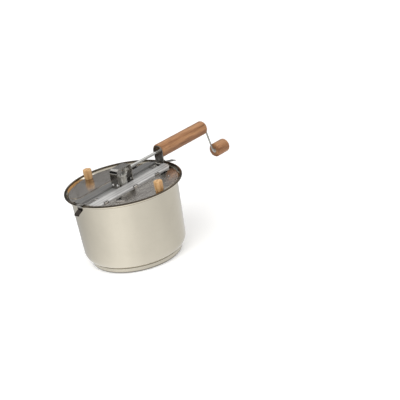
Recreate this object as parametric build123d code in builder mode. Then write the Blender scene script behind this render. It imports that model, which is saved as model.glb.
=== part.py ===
from build123d import *
from math import atan, cos, degrees, hypot, pi, radians, sin, tan
import os

os.makedirs("parts", exist_ok=True)

# A popcorn popper for the stove. Millimetres, +Z up, origin at the centre of the pot's flat base.
# +X runs along the crossbar to the handle, -Y is the near side.

# ---------------------------------------------------------------- pot
pot_height = 166.0          # base to the top of the rolled rim
rim_radius = 127.0          # outside of the rolled rim
bead_radius = 2.6           # the roll itself
pot_sheet = 1.0
flare_width = 7.5           # rim's outside in to the ledge's outer edge
ledge_width = 4.3
ledge_depth = 7.8           # rim top down to the ledge
wall_draft = 5.2            # the wall narrows by this much on its way down
corner_radius = 24.0
base_inset = 12.0           # base disc inside the wall's foot
base_thickness = 8.0
base_edge_radius = 2.2

# ---------------------------------------------------------------- fits and joints between sheets
running_fit = 0.06          # radial clearance of a shaft that turns
pin_fit = 0.05              # radial clearance of a pin that stays put
seat_gap = 0.3              # between faces that rest on each other through a thin film of air

# ---------------------------------------------------------------- lid frame
lid_edge_clearance = 1.9    # lid's edge inside the ledge's outer edge
lid_sheet = 1.0
channel_half = 11.5         # half the inside width of the crossbar's channel
channel_depth = 5.5
channel_bend = 0.4          # inside the channel's bottom corners
rail_half = 36.8            # half width out to the rails' outer corner
rail_fall = 2.0             # the rails slope down outwards by this much
flange_lean = 0.8
rail_end_radius = 14.0

# ---------------------------------------------------------------- lid hinges
front_ear_inset = 29.6      # outer hinge ears in from the lid's edge
rear_ear_inset = 49.6
ear_width = 10.0
ear_slot_clearance = 1.5
hinge_pin_radius = 0.9
curl_wall = 1.0
lug_thickness = 1.2
lug_width = 3.4
hinge_inset = 1.2           # pin centre inside the rails' outer corner
lid_edge_gap = 2.2          # half lid's straight edge out from the crossbar's flange

# ---------------------------------------------------------------- half lids
panel_inset = 3.0           # raised panel inside the lid's edge
panel_rise = 1.5
panel_margin = 5.0
panel_corner_radius = 14.0
lid_corner_radius = 6.0
notch_length = 16.0
notch_depth = 9.0
notch_inset = 33.6
vent_angles = (46.0, 140.0)
vent_inset = 20.6
vent_length = 21.0
vent_height = 3.0
vent_wall = 0.7

# ---------------------------------------------------------------- lid knobs
lid_knob_inset = 11.6
lid_knob_radius = 9.4
lid_knob_height = 22.0
lid_knob_foot_radius = 8.4
lid_knob_edge = 2.2
knob_screw_radius = 2.0
knob_screw_depth = 15.0
knob_screw_head_radius = 4.2
knob_screw_head_height = 2.2

# ---------------------------------------------------------------- gears
shaft_rise = 23.5           # crank shaft above the rim
gear_module = 1.4
crank_teeth = 12
stir_teeth = 16
gear_face = 4.6             # length of a tooth along the cone
pressure_angle = 20.0
gear_backlash = 0.42
crank_hub_radius = 5.2
stir_drum_radius = 8.6
rib_height = 1.3
gear_pin_radius = 0.75

# ---------------------------------------------------------------- gear bracket
bracket_length = 44.0       # over the outside of the legs
bracket_width = 22.0
bracket_sheet = 1.6
bracket_height = 35.0       # top above the rim
bracket_front_bend = 9.0
bracket_rear_bend = 3.0
foot_sheet = 1.2
foot_ear_height = 12.0
bracket_rivet_rise = 8.2    # rivet centres above the channel floor
bracket_rivet_spread = 13.0
rivet_radius = 1.5
rivet_head_radius = 2.6
rivet_head_height = 1.3

# ---------------------------------------------------------------- stir rod and its bush
stir_rod_radius = 3.175
bush_wall = 1.6
bush_flange_radius = 8.0
bush_flange_thickness = 1.4
bush_below = 5.0
bush_hole_radius = stir_rod_radius + running_fit + bush_wall + pin_fit
clip_thickness = 1.0
clip_radius = 6.0

# ---------------------------------------------------------------- stirrer
rod_floor_gap = 2.4
stir_hub_outer_radius = 7.0
stir_hub_height = 13.0
stir_hub_floor_gap = 1.6
stir_wire_radius = 2.0
stir_wire_floor_gap = 1.4
stir_wall_gap = 11.0        # arm's tip inside the wall's foot
stir_tip_run = 15.0
stir_tip_rise = 17.5
stir_bend = 12.0

# ---------------------------------------------------------------- crank shaft and handle
crank_wire_radius = 1.8
tube_radius = 3.2
tube_flare_radius = 5.4
tube_flare_thickness = 1.2
handle_length = 150.4
handle_radius = 15.8
handle_end_fillet = 4.5
handle_front_fillet = 1.6
handle_fit = 0.1
handle_bracket_sheet = 2.0
handle_bracket_reach = 2.0  # outer face of the upright strip beyond the lid's edge
handle_bracket_bend = 4.2
handle_bracket_width = 25.0
handle_bracket_head_radius = 13.8
handle_bracket_foot = 26.4
handle_bracket_foot_width = 22.0
handle_rivet_inset = 16.8   # rivets back from the upright strip
thrust_washer_radius = 4.6
thrust_washer_thickness = 1.0

# ---------------------------------------------------------------- crank arm and its knob
crank_throw = 60.5
crank_lean = 14.0           # degrees the arm hangs away from straight down, to the near side
crank_bend_radius = 2.8
crank_arm_gap = 3.3         # thrust washer to the arm's centre line
crank_knob_radius = 15.6
crank_knob_length = 37.0
crank_knob_fillet = 4.0
crank_knob_gap = 3.7        # arm's centre line to the knob washer
knob_washer_radius = 5.0
knob_washer_thickness = 0.9
retainer_radius = 4.6
retainer_thickness = 2.4
retainer_recess_radius = 6.0
retainer_recess_depth = 3.4

# ---------------------------------------------------------------- rim clips
clip_width = 12.0
clip_sheet = 1.2
rim_clearance = 0.5         # clip to the rolled rim
clip_bend = 1.6
rear_tab_tip = (35.0, 14.0)     # reach beyond the rim, drop below its top
front_tab_tip = (15.0, 15.2)
tab_width = 14.0
tab_roll = 1.5              # radius of the rolled tip
rear_rivet_rise = 5.0
latch_arm_length = 41.6     # arm's root in from the lid's edge
latch_rivet_inset = 34.6
floor_rivet_spread = 6.0
latch_pin_radius = 0.8
latch_curl_wall = 1.1
latch_eye_width = 5.6
latch_leg_gap = 1.2         # inner face of the hook's leg beyond the rim
latch_leg_drop = 6.4        # straight leg below the rim
latch_tooth_gap = 0.4       # tooth beyond the rim while the latch hangs open
latch_tooth_drop = 8.6      # tooth below the rim
latch_neck = 3.4            # eye down to where the hook widens

# ---------------------------------------------------------------- worked out
ledge_radius = rim_radius - flare_width
wall_top_radius = ledge_radius - ledge_width        # outside of the wall, just under the ledge
wall_foot_radius = wall_top_radius - wall_draft     # where the wall's line meets the bottom's line
base_radius = wall_foot_radius - base_inset
lid_radius = ledge_radius - lid_edge_clearance
panel_radius = lid_radius - panel_inset
lid_knob_place = lid_radius - lid_knob_inset
vent_circle = lid_radius - vent_inset
notch_place = lid_radius - notch_inset
ear_places = (front_ear_inset - lid_radius, 0.0, lid_radius - rear_ear_inset)
lid_z = pot_height - ledge_depth + seat_gap         # underside of the lid's sheet
floor_z = lid_z + lid_sheet                         # channel floor and the lids' border
panel_z = floor_z + panel_rise
rail_z = floor_z + channel_depth
shaft_z = pot_height + shaft_rise
flange_half = rail_half + flange_lean
curl_radius = hinge_pin_radius + pin_fit + curl_wall
hinge_y = rail_half - hinge_inset
hinge_z = lid_z + curl_radius
lid_edge = flange_half + lid_edge_gap
bead_y = rim_radius - bead_radius
bead_z = pot_height - bead_radius
pot_floor = base_thickness + pot_sheet
crank_gear_radius = gear_module * crank_teeth / 2
stir_gear_radius = gear_module * stir_teeth / 2
cone_distance = hypot(crank_gear_radius, stir_gear_radius)
gear_apex = Vector(0, 0, shaft_z)
bracket_half = bracket_length / 2
bracket_inside = bracket_half - bracket_sheet
bush_top = floor_z + foot_sheet + bush_flange_thickness
stir_reach = wall_foot_radius - stir_wall_gap
stir_flat_reach = stir_reach - stir_tip_run
handle_bracket_place = lid_radius + handle_bracket_reach
handle_end = handle_bracket_place + handle_length
arm_x = handle_end + tube_flare_thickness + thrust_washer_thickness + crank_arm_gap
knob_x = arm_x + crank_knob_gap + knob_washer_thickness + seat_gap
knob_end = knob_x + crank_knob_length
latch_eye_radius = latch_pin_radius + pin_fit + latch_curl_wall
latch_rivet_place = lid_radius - latch_rivet_inset
latch_leg_place = rim_radius + latch_leg_gap
latch_tooth_place = rim_radius + latch_tooth_gap
rear_tab_end = rim_radius + rear_tab_tip[0]
front_tab_end = rim_radius + front_tab_tip[0]
latch_eye_x = -(rim_radius + rim_clearance + latch_eye_radius + 0.25)
latch_eye_z = pot_height + rim_clearance + latch_eye_radius


def domed_rivet(grip):
    """A rivet along +Z: a domed head at z = 0 and a small upset head past its grip."""
    dome_radius = (rivet_head_radius ** 2 + rivet_head_height ** 2) / (2 * rivet_head_height)
    with BuildPart() as rivet:
        with BuildSketch(Plane.XZ):
            with BuildLine():
                Line((0, -rivet_head_height), (0, 0))
                Line((0, 0), (rivet_head_radius, 0))
                RadiusArc((rivet_head_radius, 0), (0, -rivet_head_height), dome_radius)
            make_face()
        revolve(axis=Axis.Z)
        with BuildSketch():
            Circle(rivet_radius)
        extrude(amount=grip)
        with BuildSketch(Plane.XY.offset(grip)):
            Circle(rivet_head_radius - 0.5)
        extrude(amount=rivet_head_height / 2)
    return rivet.part


def bent_strip(points, bends, width, sheet, side=Side.RIGHT):
    """A strip of sheet: one face follows the points in the XZ plane, centred on y = 0."""
    with BuildPart() as strip:
        with BuildSketch(Plane.XZ):
            with BuildLine():
                FilletPolyline(*points, radius=bends)
                offset(amount=sheet, side=side, closed=True)
            make_face()
        extrude(amount=width / 2, both=True)
    return strip.part


# ================================================================ pot
with BuildPart() as pot_shell:
    with BuildSketch(Plane.XZ):
        with BuildLine():
            FilletPolyline(
                (0, base_thickness),
                (wall_foot_radius, base_thickness),
                (wall_top_radius, pot_height - ledge_depth - pot_sheet),
                (ledge_radius, pot_height - ledge_depth - pot_sheet),
                (bead_y - 0.6, bead_z),
                radius=[corner_radius, 2.0, 1.8],
            )
            offset(amount=pot_sheet, side=Side.LEFT, closed=True)
        make_face()
    revolve(axis=Axis.Z)
    with BuildSketch(Plane.XZ):
        with Locations((bead_y, bead_z)):
            Circle(bead_radius)
    revolve(axis=Axis.Z)

with BuildPart() as base_disc:
    with BuildSketch():
        Circle(base_radius)
    extrude(amount=base_thickness)
    fillet(base_disc.edges().filter_by(GeomType.CIRCLE), radius=base_edge_radius)

# ================================================================ crossbar
slot_length = ear_width + 2 * ear_slot_clearance
with BuildPart() as crossbar:
    with BuildSketch(Plane.YZ):
        with BuildLine():
            FilletPolyline(
                (0, floor_z),
                (channel_half, floor_z),
                (channel_half, rail_z),
                (rail_half, rail_z - rail_fall),
                (flange_half, lid_z),
                radius=[channel_bend, 1.8, 2.0],
            )
            offset(amount=lid_sheet, side=Side.RIGHT, closed=True)
        make_face()
    extrude(amount=lid_radius, both=True)
    # lugs under the rails carry the hinge pins, one at each end of every slot
    for ear_x in ear_places:
        for end in (-1, 1):
            lug_x = ear_x + end * (slot_length + lug_thickness) / 2
            with BuildSketch(Plane.YZ.offset(lug_x - lug_thickness / 2)):
                with Locations((hinge_y, lid_z)):
                    Rectangle(lug_width, rail_z - rail_fall - lid_z - 0.4, align=(Align.CENTER, Align.MIN))
            extrude(amount=lug_thickness)
        with BuildSketch(Plane.XY.offset(lid_z - 1)):
            with Locations((ear_x, hinge_y - 2.4)):
                Rectangle(slot_length, flange_half, align=(Align.CENTER, Align.MIN))
        extrude(amount=channel_depth + 4, mode=Mode.SUBTRACT)
    with BuildSketch(Plane.YZ):
        with Locations((hinge_y, hinge_z)):
            Circle(hinge_pin_radius + pin_fit)
    extrude(amount=lid_radius, both=True, mode=Mode.SUBTRACT)
    mirror(about=Plane.XZ)
    # rounded in plan to the ledge's circle
    with BuildSketch(Plane.XY.offset(lid_z - 1)) as plan:
        Circle(lid_radius)
        Rectangle(2 * lid_radius, 2 * flange_half, mode=Mode.INTERSECT)
        fillet(plan.vertices(), radius=rail_end_radius)
    extrude(amount=channel_depth + 4, mode=Mode.INTERSECT)
    # the stir bush's hole and the rivet holes of what is fastened to the floor
    with BuildSketch(Plane.XY.offset(lid_z - 1)):
        Circle(bush_hole_radius)
        for x in (-latch_rivet_place, handle_bracket_place - handle_rivet_inset):
            with Locations((x, 0)):
                with GridLocations(0, floor_rivet_spread, 1, 2):
                    Circle(rivet_radius + pin_fit)
    extrude(amount=lid_sheet + 2, mode=Mode.SUBTRACT)

# ================================================================ hinge pins
pin_start = min(ear_places) - slot_length / 2 - 2 * lug_thickness
pin_stop = max(ear_places) + slot_length / 2 + 2 * lug_thickness
with BuildPart() as hinge_pin_far:
    with BuildSketch(Plane.YZ.offset(pin_start)):
        with Locations((hinge_y, hinge_z)):
            Circle(hinge_pin_radius)
    extrude(amount=pin_stop - pin_start)
with BuildPart() as hinge_pin_near:
    add(mirror(hinge_pin_far.part, about=Plane.XZ, mode=Mode.PRIVATE))

# ================================================================ half lids
with BuildPart() as flap_far:
    # the border sheet, a circle's segment beyond the hinge
    with BuildSketch(Plane.XY.offset(lid_z)) as border:
        Circle(lid_radius)
        with Locations((0, lid_edge)):
            Rectangle(2 * lid_radius, lid_radius, align=(Align.CENTER, Align.MIN), mode=Mode.INTERSECT)
        fillet(border.vertices(), radius=lid_corner_radius)
    extrude(amount=lid_sheet)
    # the raised panel, pressed up out of the sheet
    with BuildSketch(Plane.XY.offset(lid_z)) as panel:
        Circle(panel_radius)
        with Locations((0, lid_edge + panel_margin)):
            Rectangle(2 * lid_radius, lid_radius, align=(Align.CENTER, Align.MIN), mode=Mode.INTERSECT)
        fillet(panel.vertices(), radius=panel_corner_radius)
    extrude(amount=lid_sheet + panel_rise, taper=12)
    with BuildSketch(Plane.XY.offset(lid_z)):
        add(panel.sketch.moved(Location((0, 0, -lid_z))))
        offset(amount=-lid_sheet, mode=Mode.REPLACE)
    extrude(amount=panel_rise, taper=12, mode=Mode.SUBTRACT)
    # relief notch beside the hinge at the handle end
    with BuildSketch(Plane.XY.offset(lid_z - 1)) as notch:
        with Locations((notch_place, lid_edge - 1)):
            Rectangle(notch_length, notch_depth + 1, align=(Align.CENTER, Align.MIN))
        fillet(notch.vertices().group_by(Axis.Y)[-1], radius=2.5)
    extrude(amount=panel_rise + lid_sheet + 2, mode=Mode.SUBTRACT)
    # hinge ears: a tongue and a curl round the pin
    for ear_x in ear_places:
        with BuildSketch(Plane.YZ.offset(ear_x - ear_width / 2)):
            with Locations((hinge_y, lid_z)):
                Rectangle(lid_edge - hinge_y + 1, lid_sheet, align=(Align.MIN, Align.MIN))
            with Locations((hinge_y, hinge_z)):
                Circle(curl_radius)
                Circle(hinge_pin_radius + running_fit, mode=Mode.SUBTRACT)
        extrude(amount=ear_width)
    # steam vents: hooded slots that open towards the middle
    for angle in vent_angles:
        vent_plane = Plane(
            origin=Vector(vent_circle, 0, panel_z).rotate(Axis.Z, angle),
            x_dir=Vector(0, 1, 0).rotate(Axis.Z, angle),
            z_dir=Vector(1, 0, 0).rotate(Axis.Z, angle),
        )
        with BuildSketch(vent_plane) as hood_face:
            with BuildLine():
                ThreePointArc((-vent_length / 2, 0), (0, vent_height), (vent_length / 2, 0))
                Line((vent_length / 2, 0), (-vent_length / 2, 0))
            make_face()
        revolve(axis=Axis(vent_plane.origin, vent_plane.x_dir), revolution_arc=90)
        with BuildSketch(vent_plane):
            with BuildLine():
                ThreePointArc(
                    (-vent_length / 2 + 2, 0),
                    (0, vent_height - vent_wall),
                    (vent_length / 2 - 2, 0),
                )
                Line((vent_length / 2 - 2, 0), (-vent_length / 2 + 2, 0))
            make_face()
        revolve(axis=Axis(vent_plane.origin, vent_plane.x_dir), revolution_arc=90, mode=Mode.SUBTRACT)
        slot_plane = Plane(origin=vent_plane.origin, x_dir=vent_plane.x_dir, z_dir=(0, 0, 1))
        with BuildSketch(slot_plane):
            Rectangle(vent_length - 5, vent_height - 1)
        extrude(amount=-(panel_rise + 2 * lid_sheet), mode=Mode.SUBTRACT)
    # hole for the knob's screw
    with BuildSketch(Plane.XY.offset(lid_z)):
        with Locations((0, lid_knob_place)):
            Circle(knob_screw_radius + pin_fit)
    extrude(amount=2 * lid_sheet + panel_rise, mode=Mode.SUBTRACT)
with BuildPart() as flap_near:
    add(mirror(flap_far.part, about=Plane.XZ, mode=Mode.PRIVATE))

# ================================================================ lid knobs and their screws
def lid_knob(side):
    """A turned wooden knob on the half lid at side * Y."""
    axis_y = side * lid_knob_place
    with BuildPart() as knob:
        with BuildSketch(Plane(origin=(0, axis_y, panel_z), x_dir=(1, 0, 0), z_dir=(0, -1, 0))) as half:
            with BuildLine():
                foot = Line((0, 0), (lid_knob_foot_radius, 0))
                belly = ThreePointArc(
                    foot @ 1,
                    (lid_knob_radius, lid_knob_height * 0.6),
                    (lid_knob_radius - 0.3, lid_knob_height),
                )
                Polyline(belly @ 1, (0, lid_knob_height), (0, 0))
            make_face()
            outer = half.vertices().sort_by(Axis.X)[-2:].sort_by(Axis.Y)
            fillet(outer[1], radius=lid_knob_edge)
            fillet(half.vertices().group_by(Axis.Y)[0].sort_by(Axis.X)[-1], radius=0.8)
        revolve(axis=Axis((0, axis_y, 0), (0, 0, 1)))
        with BuildSketch(Plane((0, axis_y, panel_z))):
            Circle(knob_screw_radius + pin_fit)
        extrude(amount=knob_screw_depth + 1, mode=Mode.SUBTRACT)
    return knob.part


def knob_screw(side):
    """A pan-head screw from under the half lid into its knob."""
    axis_y = side * lid_knob_place
    head_z = panel_z - lid_sheet
    with BuildPart() as screw:
        with BuildSketch(Plane((0, axis_y, head_z - knob_screw_head_height))):
            Circle(knob_screw_head_radius)
        extrude(amount=knob_screw_head_height)
        fillet(screw.edges().group_by(Axis.Z)[0], radius=knob_screw_head_height * 0.6)
        with BuildSketch(Plane((0, axis_y, head_z))):
            Circle(knob_screw_radius)
        extrude(amount=lid_sheet + knob_screw_depth)
        with BuildSketch(Plane((0, axis_y, head_z - knob_screw_head_height))):
            Rectangle(1.0, 2 * knob_screw_head_radius)
        extrude(amount=0.9, mode=Mode.SUBTRACT)
    return screw.part


with BuildPart() as knob_far:
    add(lid_knob(1))
with BuildPart() as knob_near:
    add(lid_knob(-1))
with BuildPart() as knob_screw_far:
    add(knob_screw(1))
with BuildPart() as knob_screw_near:
    add(knob_screw(-1))

# ================================================================ bevel gears
tooth_rise = gear_module
tooth_depth = 1.25 * gear_module
tooth_half = pi * gear_module / 4 - gear_backlash / 2
toe_scale = (cone_distance - gear_face) / cone_distance


def bevel_gear(teeth, mate_teeth, hub_radius, hub_end, bore, first_tooth, ribbed=False):
    """A straight bevel gear about +Z with its pitch cone's tip at the origin and its back at +Z."""
    cone = atan(teeth / mate_teeth)
    along = Vector(sin(cone), 0, cos(cone))
    out = Vector(cos(cone), 0, -sin(cone))
    heel = along * cone_distance
    heel_root = heel - out * tooth_depth
    toe_root = heel_root * toe_scale
    hub_shoulder = heel_root - out * ((heel_root.X - hub_radius) / cos(cone))
    slope = tan(radians(pressure_angle))
    with BuildPart() as tooth:
        for scale in (1, toe_scale):
            with BuildSketch(Plane(origin=heel * scale, x_dir=(0, -1, 0), z_dir=along)):
                tip = tooth_half - tooth_rise * slope
                root = tooth_half + tooth_depth * slope
                with BuildLine():
                    Polyline(
                        (-root * scale, (-tooth_depth - 0.5) * scale),
                        (-root * scale, -tooth_depth * scale),
                        (-tip * scale, tooth_rise * scale),
                        (tip * scale, tooth_rise * scale),
                        (root * scale, -tooth_depth * scale),
                        (root * scale, (-tooth_depth - 0.5) * scale),
                        close=True,
                    )
                make_face()
        loft(ruled=True)
    with BuildPart() as gear:
        with BuildSketch(Plane.XZ):
            with BuildLine():
                Polyline(
                    (0, toe_root.Z),
                    (toe_root.X, toe_root.Z),
                    (heel_root.X, heel_root.Z),
                    (hub_shoulder.X, hub_shoulder.Z),
                    (hub_radius, hub_end),
                    (0, hub_end),
                    close=True,
                )
            make_face()
        revolve(axis=Axis.Z)
        with PolarLocations(0, teeth, start_angle=first_tooth * 360 / teeth):
            add(tooth.part)
        if ribbed:
            with BuildSketch(Plane.XY.offset(heel_root.Z + 0.6)):
                with PolarLocations(hub_radius, teeth, start_angle=first_tooth * 360 / teeth):
                    RectangleRounded(2 * rib_height, 2 * rib_height, rib_height * 0.45)
            extrude(amount=hub_end - heel_root.Z - 1.4)
        with BuildSketch():
            Circle(bore)
        extrude(amount=2 * hub_end, mode=Mode.SUBTRACT)
    return gear.part


stir_hub_end = shaft_z - bush_top - seat_gap
stir_gear_pin_drop = stir_hub_end - 3.2
with BuildPart(Plane(origin=gear_apex, x_dir=(1, 0, 0), z_dir=(0, 0, -1))) as stir_gear:
    add(bevel_gear(stir_teeth, crank_teeth, stir_drum_radius, stir_hub_end,
                   stir_rod_radius + pin_fit, 0, ribbed=True))
    with BuildSketch(Plane(origin=(0, 0, shaft_z - stir_gear_pin_drop), z_dir=(0, 1, 0))):
        Circle(gear_pin_radius + pin_fit)
    extrude(amount=stir_gear_radius, both=True, mode=Mode.SUBTRACT)

crank_hub_end = bracket_inside - seat_gap
crank_gear_pin_x = crank_hub_end - 2.6
with BuildPart(Plane(origin=gear_apex, x_dir=(0, 0, -1), z_dir=(1, 0, 0))) as crank_gear:
    add(bevel_gear(crank_teeth, stir_teeth, crank_hub_radius, crank_hub_end,
                   crank_wire_radius + pin_fit, 0.5))
    with BuildSketch(Plane(origin=(crank_gear_pin_x, 0, shaft_z), z_dir=(0, 1, 0))):
        Circle(gear_pin_radius + pin_fit)
    extrude(amount=crank_gear_radius, both=True, mode=Mode.SUBTRACT)

with BuildPart() as stir_gear_pin:
    with BuildSketch(Plane(origin=(0, 0, shaft_z - stir_gear_pin_drop), z_dir=(0, 1, 0))):
        Circle(gear_pin_radius)
    extrude(amount=stir_drum_radius, both=True)
with BuildPart() as crank_gear_pin:
    with BuildSketch(Plane(origin=(crank_gear_pin_x, 0, shaft_z), z_dir=(0, 1, 0))):
        Circle(gear_pin_radius)
    extrude(amount=crank_hub_radius, both=True)

# ================================================================ gear bracket
bracket_rivet_z = floor_z + bracket_rivet_rise
bracket_top = pot_height + bracket_height
with BuildPart() as gear_bracket:
    add(bent_strip(
        [(-bracket_half, floor_z), (-bracket_half, bracket_top), (bracket_half, bracket_top),
         (bracket_half, floor_z)],
        [bracket_front_bend, bracket_rear_bend], bracket_width, bracket_sheet))
    with BuildSketch(Plane.YZ):
        with Locations((0, bracket_rivet_z)):
            with GridLocations(bracket_rivet_spread, 0, 2, 1):
                Circle(rivet_radius + pin_fit)
    extrude(amount=bracket_length, both=True, mode=Mode.SUBTRACT)
    with BuildSketch(Plane.YZ):
        with Locations((0, shaft_z)):
            Circle(crank_wire_radius + running_fit)
    extrude(amount=bracket_length, mode=Mode.SUBTRACT)

with BuildPart() as bracket_base:
    add(bent_strip(
        [(-bracket_inside, floor_z + foot_ear_height), (-bracket_inside, floor_z),
         (bracket_inside, floor_z), (bracket_inside, floor_z + foot_ear_height)],
        [2.0, 2.0], bracket_width - 2, foot_sheet, Side.LEFT))
    with BuildSketch(Plane.YZ):
        with Locations((0, bracket_rivet_z)):
            with GridLocations(bracket_rivet_spread, 0, 2, 1):
                Circle(rivet_radius + pin_fit)
    extrude(amount=bracket_length, both=True, mode=Mode.SUBTRACT)
    with BuildSketch(Plane.XY.offset(floor_z)):
        Circle(bush_hole_radius)
    extrude(amount=2 * foot_sheet, mode=Mode.SUBTRACT)

with BuildPart() as bracket_rivets:
    for end in (-1, 1):
        for side in (-1, 1):
            with Locations(Plane(
                origin=(end * bracket_half, side * bracket_rivet_spread / 2, bracket_rivet_z),
                z_dir=(-end, 0, 0),
            )):
                add(domed_rivet(bracket_sheet + foot_sheet))

with BuildPart() as stir_bush:
    with BuildSketch(Plane.XY.offset(lid_z - bush_below)):
        Circle(bush_hole_radius - pin_fit)
    extrude(amount=bush_top - lid_z + bush_below)
    with BuildSketch(Plane.XY.offset(bush_top - bush_flange_thickness)):
        Circle(bush_flange_radius)
    extrude(amount=bush_flange_thickness)
    chamfer(stir_bush.edges().group_by(Axis.Z)[0], length=0.6)
    with BuildSketch(Plane.XY.offset(lid_z - bush_below)):
        Circle(stir_rod_radius + running_fit)
    extrude(amount=bush_top, mode=Mode.SUBTRACT)

# ================================================================ stir rod, clip, hub and arms
rod_bottom = pot_floor + rod_floor_gap
rod_top = shaft_z - toe_scale * (cone_distance * cos(atan(stir_teeth / crank_teeth)))
clip_z = lid_z - bush_below - seat_gap - clip_thickness
groove_depth = 0.4
hub_bottom = pot_floor + stir_hub_floor_gap
wire_root_z = hub_bottom + stir_wire_radius + 2.2
wire_z = pot_floor + stir_wire_floor_gap + stir_wire_radius
hub_pin_z = hub_bottom + stir_hub_height - 3.4
wire_root = stir_rod_radius + 0.6
with BuildPart() as stir_rod:
    with BuildSketch(Plane.XY.offset(rod_bottom)):
        Circle(stir_rod_radius)
    extrude(amount=rod_top - rod_bottom)
    chamfer(stir_rod.edges().group_by(Axis.Z)[0], length=0.5)
    with BuildSketch(Plane.XY.offset(clip_z - pin_fit)):
        Circle(stir_rod_radius + 1)
        Circle(stir_rod_radius - groove_depth, mode=Mode.SUBTRACT)
    extrude(amount=clip_thickness + 2 * pin_fit, mode=Mode.SUBTRACT)
    for z in (shaft_z - stir_gear_pin_drop, hub_pin_z):
        with BuildSketch(Plane(origin=(0, 0, z), z_dir=(0, 1, 0))):
            Circle(gear_pin_radius + pin_fit)
        extrude(amount=2 * stir_rod_radius, both=True, mode=Mode.SUBTRACT)

with BuildPart() as rod_clip:
    with BuildSketch(Plane.XY.offset(clip_z)):
        Circle(clip_radius)
        Circle(stir_rod_radius - groove_depth + pin_fit, mode=Mode.SUBTRACT)
        with Locations((clip_radius / 2, 0)):
            Rectangle(clip_radius, 3.6, mode=Mode.SUBTRACT)
    extrude(amount=clip_thickness)

with BuildPart() as stir_hub:
    with BuildSketch(Plane.XY.offset(hub_bottom)):
        Circle(stir_hub_outer_radius)
    extrude(amount=stir_hub_height)
    fillet(stir_hub.edges().filter_by(GeomType.CIRCLE), radius=1.0)
    with BuildSketch(Plane.XY.offset(rod_bottom - seat_gap)):
        Circle(stir_rod_radius + pin_fit)
    extrude(amount=stir_hub_height, mode=Mode.SUBTRACT)
    with BuildSketch(Plane.YZ.offset(wire_root - 0.2)):
        with Locations((0, wire_root_z)):
            Circle(stir_wire_radius + pin_fit)
    extrude(amount=stir_hub_outer_radius, mode=Mode.SUBTRACT)
    with BuildSketch(Plane.YZ.offset(-wire_root + 0.2)):
        with Locations((0, wire_root_z)):
            Circle(stir_wire_radius + pin_fit)
    extrude(amount=-stir_hub_outer_radius, mode=Mode.SUBTRACT)
    with BuildSketch(Plane(origin=(0, 0, hub_pin_z), z_dir=(0, 1, 0))):
        Circle(gear_pin_radius + pin_fit)
    extrude(amount=stir_hub_outer_radius + 1, both=True, mode=Mode.SUBTRACT)

with BuildPart() as stir_hub_pin:
    with BuildSketch(Plane(origin=(0, 0, hub_pin_z), z_dir=(0, 1, 0))):
        Circle(gear_pin_radius)
    extrude(amount=stir_hub_outer_radius, both=True)

with BuildPart() as stir_arms:
    for end in (-1, 1):
        with BuildLine(Plane.XZ) as arm_path:
            FilletPolyline(
                (end * wire_root, wire_root_z),
                (end * 14, wire_root_z),
                (end * 24, wire_z),
                (end * stir_flat_reach, wire_z),
                (end * stir_reach, wire_z + stir_tip_rise),
                radius=stir_bend,
            )
        with BuildSketch(Plane(origin=arm_path.line @ 0, z_dir=arm_path.line % 0)):
            Circle(stir_wire_radius)
        sweep(path=arm_path.line)

# ================================================================ bearing tube, handle and its bracket
with BuildPart() as bearing_tube:
    with BuildSketch(Plane.YZ.offset(bracket_half)):
        with Locations((0, shaft_z)):
            Circle(tube_radius)
    extrude(amount=handle_end - bracket_half)
    with BuildSketch(Plane.YZ.offset(handle_end)):
        with Locations((0, shaft_z)):
            Circle(tube_flare_radius)
    extrude(amount=tube_flare_thickness)
    fillet(bearing_tube.edges().group_by(Axis.X)[-1], radius=0.8)
    with BuildSketch(Plane.YZ.offset(bracket_half)):
        with Locations((0, shaft_z)):
            Circle(crank_wire_radius + running_fit)
    extrude(amount=handle_end, mode=Mode.SUBTRACT)

with BuildPart() as handle:
    with BuildSketch(Plane.YZ.offset(handle_bracket_place)):
        with Locations((0, shaft_z)):
            Circle(handle_radius)
    extrude(amount=handle_end - handle_bracket_place)
    fillet(handle.edges().group_by(Axis.X)[-1], radius=handle_end_fillet)
    fillet(handle.edges().group_by(Axis.X)[0], radius=handle_front_fillet)
    with BuildSketch(Plane.YZ.offset(handle_bracket_place)):
        with Locations((0, shaft_z)):
            Circle(tube_radius + handle_fit)
    extrude(amount=handle_end, mode=Mode.SUBTRACT)

foot_start = handle_bracket_place - handle_bracket_foot
with BuildPart() as handle_bracket:
    add(bent_strip(
        [(foot_start, floor_z), (handle_bracket_place, floor_z),
         (handle_bracket_place, shaft_z + handle_bracket_head_radius)],
        [handle_bracket_bend], 2 * handle_bracket_head_radius, handle_bracket_sheet, Side.LEFT))
    with BuildSketch(Plane.YZ):
        with Locations((0, floor_z)):
            Rectangle(handle_bracket_foot_width, shaft_z - floor_z, align=(Align.CENTER, Align.MIN))
        with Locations((0, floor_z + handle_bracket_bend)):
            Rectangle(handle_bracket_width, shaft_z - floor_z - handle_bracket_bend,
                      align=(Align.CENTER, Align.MIN))
        with Locations((0, shaft_z)):
            Circle(handle_bracket_head_radius)
            Circle(tube_radius + pin_fit, mode=Mode.SUBTRACT)
        with Locations((0, pot_height + rear_rivet_rise)):
            Circle(rivet_radius + pin_fit, mode=Mode.SUBTRACT)
    extrude(amount=handle_bracket_place + 5, mode=Mode.INTERSECT)
    with BuildSketch(Plane.XY.offset(floor_z)):
        with Locations((handle_bracket_place - handle_rivet_inset, 0)):
            with GridLocations(0, floor_rivet_spread, 1, 2):
                Circle(rivet_radius + pin_fit)
    extrude(amount=handle_bracket_sheet + 1, mode=Mode.SUBTRACT)

with BuildPart() as handle_bracket_rivets:
    with Locations(Plane(
        origin=(handle_bracket_place - handle_rivet_inset, 0, floor_z + handle_bracket_sheet),
        z_dir=(0, 0, -1),
    )):
        with GridLocations(0, floor_rivet_spread, 1, 2):
            add(domed_rivet(handle_bracket_sheet + lid_sheet))

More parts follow.
